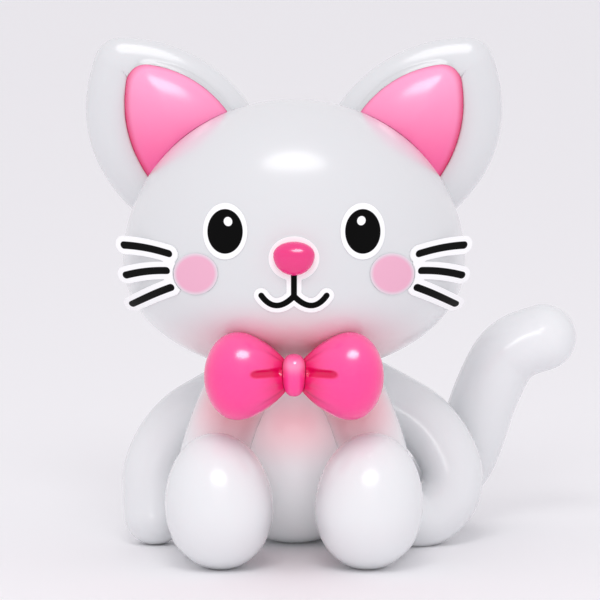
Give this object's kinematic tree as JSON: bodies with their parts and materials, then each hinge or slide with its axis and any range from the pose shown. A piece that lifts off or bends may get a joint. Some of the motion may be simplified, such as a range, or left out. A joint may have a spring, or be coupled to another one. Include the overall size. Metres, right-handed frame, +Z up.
{
  "type": "balloon cat sculpture",
  "caption": "White sitting cat built of air-filled latex balloons, with pink inner ears, a pink bow tie, a sticker face, whiskers and a curved tube tail.",
  "frame": {"origin": "middle of the flat on which the body balloon rests on the floor", "axes": "+Z up, the cat faces -Y, +X to the viewer's right where the tail is"},
  "size_m": [0.4407, 0.3236, 0.4527],
  "materials": {
    "white_latex": "glossy, slightly pearly",
    "rose_latex": "glossy",
    "hot_pink_latex": "glossy",
    "printed_vinyl": "satin, black print on white",
    "blush_vinyl": "satin"
  },
  "bodies": {
    "root": {"head": "white_latex", "body": "white_latex", "ear_left": "white_latex", "ear_right": "white_latex", "inner_ear_left": "rose_latex", "inner_ear_right": "rose_latex", "front_leg_left": "white_latex", "front_leg_right": "white_latex", "haunch_left": "white_latex", "haunch_right": "white_latex", "paw_left": "white_latex", "paw_right": "white_latex", "tail": "white_latex", "bow_loop_left": "hot_pink_latex", "bow_loop_right": "hot_pink_latex", "bow_knot": "hot_pink_latex", "nose": "hot_pink_latex", "mouth": "printed_vinyl", "eye_left": "printed_vinyl", "eye_right": "printed_vinyl", "whiskers_left": "printed_vinyl", "whiskers_right": "printed_vinyl", "cheek_left": "blush_vinyl", "cheek_right": "blush_vinyl"}
  },
  "joints": []
}
